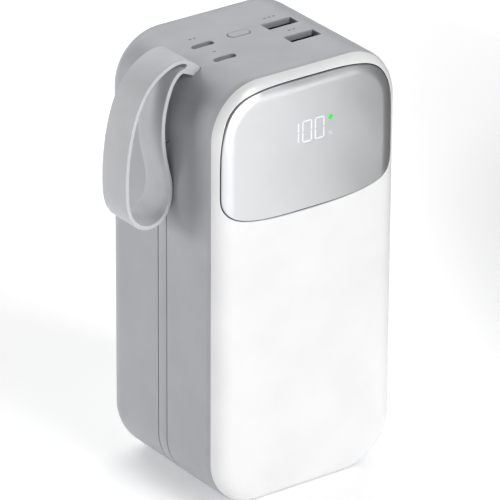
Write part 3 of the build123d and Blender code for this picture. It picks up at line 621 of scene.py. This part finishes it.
def build_mouths():
    """Cutters for the sockets' mouths, the button's hole, the strap's slot and the cover's pocket."""
    cutters = []
    overrun = 0.4  # below the wall
    wall_low = case_height - wall - overrun
    for socket in ("usb_a_back", "usb_a_front", "usb_c_back", "usb_c_front"):
        half_x, half_y, radius = wide_mouth if socket.startswith("usb_a") else narrow_mouth
        x, y = box_centre(socket + "_shell")
        cutters.append(cutter_stack("mouth", x, y, half_x, half_y, radius, wall_low))
    x, y = button_middle
    half_x, half_y = button_half + button_gap
    cutters.append(cutter_stack("hole", x, y, half_x, half_y, half_y - 0.01, wall_low))
    top, slot_corner, slot_lip = corner_radius, 0.5, 0.16
    cutters.append(
        leaning_stack(
            "slot", slot_half_across, slot_half_y, slot_corner,
            [(0, top - 5), (0, top - 0.2), (slot_lip, top + 0.02), (slot_lip, top + 4)],
        )  # fmt: skip
    )
    shrink = [-3.4, -2.4, -1.4, -0.4]
    levels = [(grow, -1.0) for grow in shrink] + [(trim_gap, -1.0), (trim_gap, cover_depth)]
    levels += [(grow, cover_depth) for grow in reversed(shrink)]
    cutters.append(side_stack("pocket", cover_half_y, cover_half_z, cover_corner, levels))
    return cutters


def build_cover():
    """The cap over the strap's anchor: a rounded rectangle that follows the side's curve."""
    edge, foot = 0.18, cover_depth - 0.1
    levels = [(grow - edge, 0) for grow in (-3.4, -2.4, -1.6, -0.9, -0.4)]
    turns = np.linspace(0, math.pi / 2, 5)
    levels += [(-edge * (1 - math.sin(t)), edge * (1 - math.cos(t))) for t in turns]
    levels += [(0, foot), (-0.4, foot), (-2.4, foot)]
    return side_stack("anchor_cap", cover_half_y, cover_half_z, cover_corner, levels)


def build_button():
    """The power button: a stadium with a rounded top edge and a flange under the case's skin."""
    x, y = button_middle
    half_x, half_y = button_half
    top, low = button_high[2], button_low[2]
    edge, play = 0.28, 0.05  # play: between the flange and the wall above it
    under = case_height - wall - play
    levels = [(flange * 0.5, low), (flange, low), (flange, under), (0, under)]
    for turn in np.linspace(0, math.pi / 2, 6):
        levels.append((-edge * (1 - math.cos(turn)), top - edge * (1 - math.sin(turn))))
    levels += [(-0.8, top), (-1.6, top)]
    rows = []
    for grow, z in levels:
        ring = rounded(half_x + grow, half_y + grow, half_y + grow - 0.01, 16)
        rows.append(np.column_stack([ring + (x, y), np.full(len(ring), z)]))
    return surface("press_key", np.array(rows), sharp=35)


def lit_shapes(name, outlines):
    """Thin lit slabs that stand a hair out of the window's face."""
    face, proud, depth = front_y + window_sink, 0.015, 0.3
    return flat_shapes(name, outlines, "front", face - proud, face + depth)


def build_digits():
    """The lit figures: seven-segment bars that read 100, as thin slabs on the window's face."""
    middle_x = (digits_low[0] + digits_high[0]) / 2
    middle_z = (digits_low[2] + digits_high[2]) / 2
    stroke, tall, wide = 0.45, 3.85, 3.65
    nib = 0.25  # between the ends of neighbouring segments
    bars = []
    columns = (-7.4, -1.9, 3.4)  # middles of the figures, the first of them a narrow 1
    for column, x in enumerate(columns):
        right, left = middle_x + x + wide / 2, middle_x + x - wide / 2
        for z in (middle_z + tall / 2, middle_z - tall / 2):
            bars.append(bar(right, z, tall - nib, stroke, True))
            if column:
                bars.append(bar(left, z, tall - nib, stroke, True))
        if column:
            for z in (middle_z + tall, middle_z - tall):
                bars.append(bar((left + right) / 2, z, wide - nib, stroke, False))
    return lit_shapes("lit_figures", bars)


def build_percent():
    """The lit percent sign: a leaning bar between two small squares, on the window's face."""
    x, z = (percent_low[0] + percent_high[0]) / 2, (percent_low[2] + percent_high[2]) / 2
    half = 0.22  # of a square
    square = np.array([(-half, -half), (half, -half), (half, half), (-half, half)])
    slash = np.array([(-0.7, -0.75), (-0.4, -0.75), (0.7, 0.75), (0.4, 0.75)])
    shapes = [square + (x - 0.6, z + 0.5), slash + (x, z), square + (x + 0.6, z - 0.5)]
    return lit_shapes("percent_sign", shapes)


def build_light(name, low, high):
    """A round light's lit spot on the window's face."""
    x, z, radius = (low[0] + high[0]) / 2, (low[2] + high[2]) / 2, (high[0] - low[0]) / 2
    return lit_shapes(name, [disc(x, z, radius)])


def build_marks():
    """Plain printed marks: one to three short bars behind each socket."""
    spacing, sunk, proud = 1.9, 0.1, 0.012
    half_long, half_wide, corner = 0.6, 0.34, 0.3
    mark = rounded(half_long, half_wide, corner, 4)
    shapes = []
    for node, beyond, bars in (
        ("usb_a_back_shell", 6.4, 3), ("usb_a_front_shell", 6.4, 2),
        ("usb_c_back_shell", 6.1, 2), ("usb_c_front_shell", 6.1, 1),
    ):  # fmt: skip
        x, y = box_centre(node)
        for index in range(bars):
            across = x + (index - (bars - 1) / 2) * spacing
            shapes.append(mark + (across, y + beyond))
    return flat_shapes("printed_marks", shapes, "top", case_height - sunk, case_height + proud)


shell = build_shell()
cut(shell, build_mouths())
face = build_panel()
window = build_window()
gasket = build_gasket()
band = build_band()
cap = build_cover()
key = build_button()
loop = build_loop()
neck = build_neck()
figures = build_digits()
green_spot = build_light("green_spot", light_low, light_high)
percent_sign = build_percent()
marks = build_marks()


# ---- Materials -------------------------------------------------------------------------
def linear(code):
    """An sRGB hex colour as linear values: ((c + 0.055) / 1.055) ^ 2.4 above 0.04045, else c / 12.92."""
    values = np.array([int(code[i : i + 2], 16) for i in (0, 2, 4)]) / 255
    values = np.where(values <= 0.04045, values / 12.92, ((values + 0.055) / 1.055) ** 2.4)
    return (*values.tolist(), 1.0)


def add_node(tree, kind, sockets=None, **settings):
    """Adds a node to a tree: settings are its own properties, sockets maps inputs to values or outputs."""
    made = tree.nodes.new("ShaderNode" + kind)
    for key, value in settings.items():
        setattr(made, key, value)
    for key, value in (sockets or {}).items():
        if isinstance(value, bpy.types.NodeSocket):
            tree.links.new(value, made.inputs[key])
        else:
            made.inputs[key].default_value = value
    return made


def start_material(name, **sockets):
    """A new material: its tree, its shader with the sockets set, and Object coordinates."""
    made = bpy.data.materials.new(name)
    made.use_nodes = True
    tree = made.node_tree
    tree.nodes.clear()
    shader = add_node(tree, "BsdfPrincipled", {k.replace("_", " "): v for k, v in sockets.items()})
    add_node(tree, "OutputMaterial", {"Surface": shader.outputs["BSDF"]})
    place = add_node(tree, "TexCoord").outputs["Object"]
    return made, tree, shader, place


def per_mm(size):
    """A texture's scale for a feature of a size in millimetres, on coordinates in metres."""
    return 1000.0 / size


def varied(tree, place, size, low, high, detail=2.0, contrast=(0.35, 0.65), stretch=None):
    """Noise of a real size, mapped from its usual range to low and high: two numbers or two colours."""
    if stretch:
        place = add_node(tree, "Mapping", {"Vector": place, "Scale": stretch}).outputs["Vector"]
    noise = add_node(tree, "TexNoise", {"Vector": place, "Scale": per_mm(size), "Detail": detail})
    if isinstance(low, tuple):
        ramp = add_node(tree, "ValToRGB", {"Fac": noise.outputs["Fac"]})
        for element, at, colour in zip(ramp.color_ramp.elements, contrast, (low, high)):
            element.position, element.color = at, colour
        return ramp.outputs["Color"]
    spread = add_node(
        tree, "MapRange",
        {"Value": noise.outputs["Fac"], "From Min": contrast[0], "From Max": contrast[1],
         "To Min": low, "To Max": high},
    )  # fmt: skip
    return spread.outputs["Result"]


def raised(tree, place, size, height, strength=1.0, detail=2.0, stretch=None):
    """A bump of a real grain size and height in millimetres."""
    if stretch:
        place = add_node(tree, "Mapping", {"Vector": place, "Scale": stretch}).outputs["Vector"]
    grain = add_node(tree, "TexNoise", {"Vector": place, "Scale": per_mm(size), "Detail": detail})
    bump = add_node(
        tree, "Bump",
        {"Height": grain.outputs["Fac"], "Distance": height * MM, "Strength": strength},
    )  # fmt: skip
    return bump.outputs["Normal"]


def mottled(name, low, high, rough, patch, grain, height, strength=1.0, stretch=None, **sockets):
    """A surface of two close colours in soft patches, uneven gloss and a fine grain."""
    made, tree, shader, place = start_material(name, **sockets)
    colour = varied(tree, place, patch, linear(low), linear(high), stretch=stretch)
    gloss = varied(tree, place, patch * 0.6, *rough, stretch=stretch)
    normal = raised(tree, place, grain, height, strength, stretch=stretch)
    for socket, value in (("Base Color", colour), ("Roughness", gloss), ("Normal", normal)):
        tree.links.new(value, shader.inputs[socket])
    return made


def lit(name, low, high, power, cell):
    """A diffused light: a lit colour that varies a little over its grain, under a smooth face."""
    made, tree, shader, place = start_material(name, Roughness=0.3, Emission_Strength=power)
    colour = varied(tree, place, cell, linear(low), linear(high))
    tree.links.new(colour, shader.inputs["Base Color"])
    tree.links.new(colour, shader.inputs["Emission Color"])
    return made


# Moulded ABS with a spark-eroded texture: an even satin grey whose fine grain softens highlights.
shell_plastic = mottled("abs_spark_textured_grey", "a3a5aa", "a7a9ad", (0.46, 0.54), 14, 0.32, 0.012)
# Moulded ABS from a polished tool: a clean white with a soft sheen and hardly any waviness.
panel_plastic = mottled("abs_polished_white", "dcdcdd", "e0e0e0", (0.22, 0.27), 20, 4.0, 0.003)
# Cast acrylic with a vapour-deposited half mirror: a satin silver sheet that shows the room as soft tones.
window_mirror = mottled(
    "acrylic_half_mirror_silver", "d9dadc", "dddee0", (0.3, 0.34), 25, 9.0, 0.004,
    Metallic=0.86, Coat_Weight=0.2, Coat_Roughness=0.25,
)  # fmt: skip
# Die-cut foam tape: a dull near-black line.
joint_foam = mottled("rubber_foam_tape_black", "151517", "1d1d1f", (0.7, 0.85), 3, 0.3, 0.03)
# Moulded silicone rubber: matt and faintly cloudy, with a dry bloom at grazing angles.
silicone = mottled(
    "silicone_moulded_grey", "babbbe", "bebec1", (0.52, 0.62), 9, 0.25, 0.008,
    Sheen_Weight=0.08, Sheen_Roughness=0.4,
)  # fmt: skip
# Injection-moulded nylon: deep grey with a glass-fibre grain.
black_plastic = mottled("nylon_moulded_black", "17171a", "222226", (0.4, 0.55), 4, 0.3, 0.01)
chassis_plastic = mottled("nylon_glass_filled_grey", "3c3c40", "4a4a4e", (0.5, 0.65), 6, 0.5, 0.03)
# Stamped, nickel-plated steel: bright, with faint drawing lines along the sheet.
steel = mottled(
    "steel_nickel_plated_stamped", "b9babd", "cbccd0", (0.24, 0.36), 3, 0.18, 0.004,
    stretch=(1, 1, 0.15), Metallic=1.0,
)  # fmt: skip
# The sockets' shells: the same stamped sheet in a dark, glossy grey, which is painted shade so that the
# sockets' mouths read black inside.
socket_steel_painted_shade = mottled(
    "steel_darkened_as_painted_mouth_shade", "2e2f32", "3a3b3e", (0.28, 0.4), 3, 0.18, 0.004, Metallic=1.0
)
# Gold-flashed copper contacts: warm, bright, slightly uneven plating.
copper = mottled("copper_gold_flashed", "cf9d4c", "e0b567", (0.22, 0.34), 1.5, 0.4, 0.004, Metallic=1.0)
# Fibreglass board under green solder mask: glossy, with the weave just showing.
board = mottled("fibreglass_board_green_mask", "0e4a2a", "14603a", (0.25, 0.35), 2.5, 0.9, 0.012)
# Pouch-cell laminate: aluminium under a clear film, softly dimpled.
foil = mottled("pouch_laminate_aluminium", "b8babd", "c6c8ca", (0.3, 0.42), 8, 3.0, 0.05, Metallic=0.85)
# Cut polyurethane foam: off-white with open cells.
foam = mottled("polyurethane_foam_cut", "d8d7d0", "e6e5df", (0.85, 0.95), 1.2, 0.5, 0.12)
# Sleeved wire: coloured silicone with a soft gloss.
red_wire = mottled("silicone_sleeve_red", "a81818", "c02222", (0.4, 0.5), 2, 0.4, 0.01)
black_wire = mottled("silicone_sleeve_black", "1c1c1e", "29292c", (0.4, 0.5), 2, 0.4, 0.01)
# Pressed ferrite: charcoal, powdery.
ferrite = mottled("ferrite_pressed_powder", "2e2d2f", "3a393b", (0.65, 0.8), 1.0, 0.2, 0.02)
# Drawn aluminium cans: silver with a fine drawn line.
can = mottled(
    "aluminium_drawn_can", "bfc1c4", "cfd1d3", (0.25, 0.35), 2, 0.2, 0.005,
    stretch=(1, 1, 0.1), Metallic=1.0,
)  # fmt: skip
# Pad-printed ink, a little darker than the plastic, with slightly ragged cover.
ink = mottled("ink_pad_printed_grey", "5f6064", "6b6c70", (0.55, 0.7), 0.8, 0.15, 0.004)
# White and green diodes seen through the half mirror.
white_light = lit("led_white_through_mirror", "dde1e8", "eceff4", 0.12, 0.6)
green_light = lit("led_green_through_mirror", "1fae2c", "3cc447", 0.6, 0.5)

FINISHES = {
    "shell_plastic": shell_plastic, "panel_plastic": panel_plastic, "window": window_mirror,
    "gasket": joint_foam, "silicone": silicone, "black_plastic": black_plastic,
    "chassis_plastic": chassis_plastic, "steel": steel, "copper": copper, "circuit_board": board,
    "cell_foil": foil, "foam": foam, "led_green": green_light, "led_white": white_light,
    "wire_red": red_wire, "wire_black": black_wire, "ferrite": ferrite, "capacitor_can": can,
}  # fmt: skip


def finish_piece(piece, body, slot, replaced, material=None):
    """Gives a new piece its material, parents it to the body it rides on, and hides the nodes it stands for.
    """
    piece.data.materials.clear()
    piece.data.materials.append(material or FINISHES[slot])
    if isinstance(body, str):
        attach(piece, body)
    if replaced:
        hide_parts(*replaced)


finish_piece(shell, "case", "shell_plastic", ["main_shell"])
finish_piece(face, "case", "panel_plastic", ["front_panel"])
finish_piece(window, "case", "window", ["display_window"])
finish_piece(gasket, "case", "gasket", ["window_gasket"])
finish_piece(band, "case", "shell_plastic", ["trim_band"])
finish_piece(cap, "case", "shell_plastic", ["anchor_cover"])
finish_piece(key, "button", "shell_plastic", ["power_button"])
finish_piece(loop, "strap", "silicone", ["strap_loop"])
finish_piece(neck, None, "silicone", ["strap_root"])
finish_piece(figures, "case", "led_white", [])
finish_piece(green_spot, "case", "led_green", ["charge_light"])
finish_piece(percent_sign, "case", "led_white", ["percent_light"])
finish_piece(marks, "case", "shell_plastic", [], ink)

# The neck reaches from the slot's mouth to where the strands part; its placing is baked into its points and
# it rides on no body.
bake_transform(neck)  # fmt: skip

# Every node that still shows takes the finish of its slot; the sockets' sheet is painted darker, as painted
# shade inside the mouths.
for name, node in frame["nodes"].items():
    slot_name = node.data.materials[0].name.split(".")[0]
    socket_sheet = name.startswith("usb") and name.endswith("shell")
    node.data.materials[0] = socket_steel_painted_shade if socket_sheet else FINISHES[slot_name]

# ---- Camera ----------------------------------------------------------------------------
azimuth, elevation, roll = (math.radians(a) for a in (-35.742, 25.513, 0.304))
distance, lens = 1920.8, 395.3
aim_depth, aim_height, aim_left, aim_up = 19.5, 81.1, 8.78, 4.51
back = Vector((
    math.sin(azimuth) * math.cos(elevation),
    -math.cos(azimuth) * math.cos(elevation),
    math.sin(elevation),
))  # fmt: skip
level = Vector((math.cos(azimuth), math.sin(azimuth), 0))
steep = back.cross(level)
right = math.cos(roll) * level + math.sin(roll) * steep
up = math.cos(roll) * steep - math.sin(roll) * level
aim = Vector((0, front_y + aim_depth, aim_height)) - aim_left * right + aim_up * up
eye = aim + distance * back
camera = bpy.data.objects.new("camera", bpy.data.cameras.new("camera"))
camera.data.lens = lens
camera.data.sensor_width = 36
camera.data.clip_start, camera.data.clip_end = 0.1, 30
camera.matrix_world = Matrix.Translation(eye * MM) @ Matrix((right, up, back)).transposed().to_4x4()
bpy.context.scene.collection.objects.link(camera)
bpy.context.scene.camera = camera

# ---- Floor and lights ------------------------------------------------------------------
floor_half, floor_z = 4000, -0.05
floor = make_mesh(
    "floor",
    np.array([(x * floor_half, y * floor_half, floor_z) for x, y in ((-1, -1), (1, -1), (1, 1), (-1, 1))]),
    np.array([[0, 1, 2, 3]]),
)
pale_floor = mottled(
    "studio_floor_backlit", "f6f6f6", "f8f8f8", (0.8, 0.9), 400, 60, 0.01,
    Emission_Color=linear("ffffff"), Emission_Strength=0.26,
)  # fmt: skip
floor.data.materials.append(pale_floor)


def soft_light(name, place, target, size, power):
    """A square, white soft light at a place, facing a target, both in millimetres."""
    lamp = bpy.data.lights.new(name, "AREA")
    lamp.size, lamp.energy = size * MM, power
    lamp.shape = "SQUARE"
    holder = bpy.data.objects.new(name, lamp)
    facing = (Vector(target) - Vector(place)).normalized().to_track_quat("-Z", "Y")
    holder.matrix_world = Matrix.Translation(Vector(place) * MM) @ facing.to_matrix().to_4x4()
    bpy.context.scene.collection.objects.link(holder)


def toward(azimuth, elevation, distance=1500):
    """A place round the object: azimuth 0 is in front, 90 to its right; millimetres and degrees."""
    turn, rise = math.radians(azimuth), math.radians(elevation)
    level = math.cos(rise)
    return np.array([math.sin(turn) * level, -math.cos(turn) * level, math.sin(rise)]) * distance + HEART


HEART = np.array([0, 0, 80])
soft_light("front_high_soft", toward(13, 42), HEART, 500, 9.4)
soft_light("front_soft", toward(5, 4), HEART, 600, 12.8)
soft_light("left_low_soft", toward(-131, 8), HEART, 500, 9.5)
soft_light("rear_soft", toward(178, 40), HEART, 800, 8.3)
soft_light("rear_right_soft", toward(135, 40), HEART, 900, 7.3)
soft_light("top_soft", toward(0, 88), HEART, 600, 0.9)

# A dark card beside the set for the mirrored window's right edge to show. It is out of the main view,
# but it stands behind the object as a dark wall in views from the left, and from behind on the left.
card_near, card_far = (123, -184), (310, 200)
card_near_height, card_far_height = 140, 200
card = make_mesh(
    "dark_card",
    np.array([(*card_near, 0), (*card_far, 0), (*card_far, card_far_height), (*card_near, card_near_height)]),
    np.array([[0, 1, 2, 3]]),
)
card.data.materials.append(mottled("card_black", "18181a", "1e1e20", (0.8, 0.9), 40, 6, 0.01))

world = bpy.data.worlds.new("studio")
world.use_nodes = True
world.node_tree.nodes["Background"].inputs["Color"].default_value = linear("ffffff")
world.node_tree.nodes["Background"].inputs["Strength"].default_value = 0.1
bpy.context.scene.world = world
bpy.context.scene.view_settings.view_transform = "Standard"
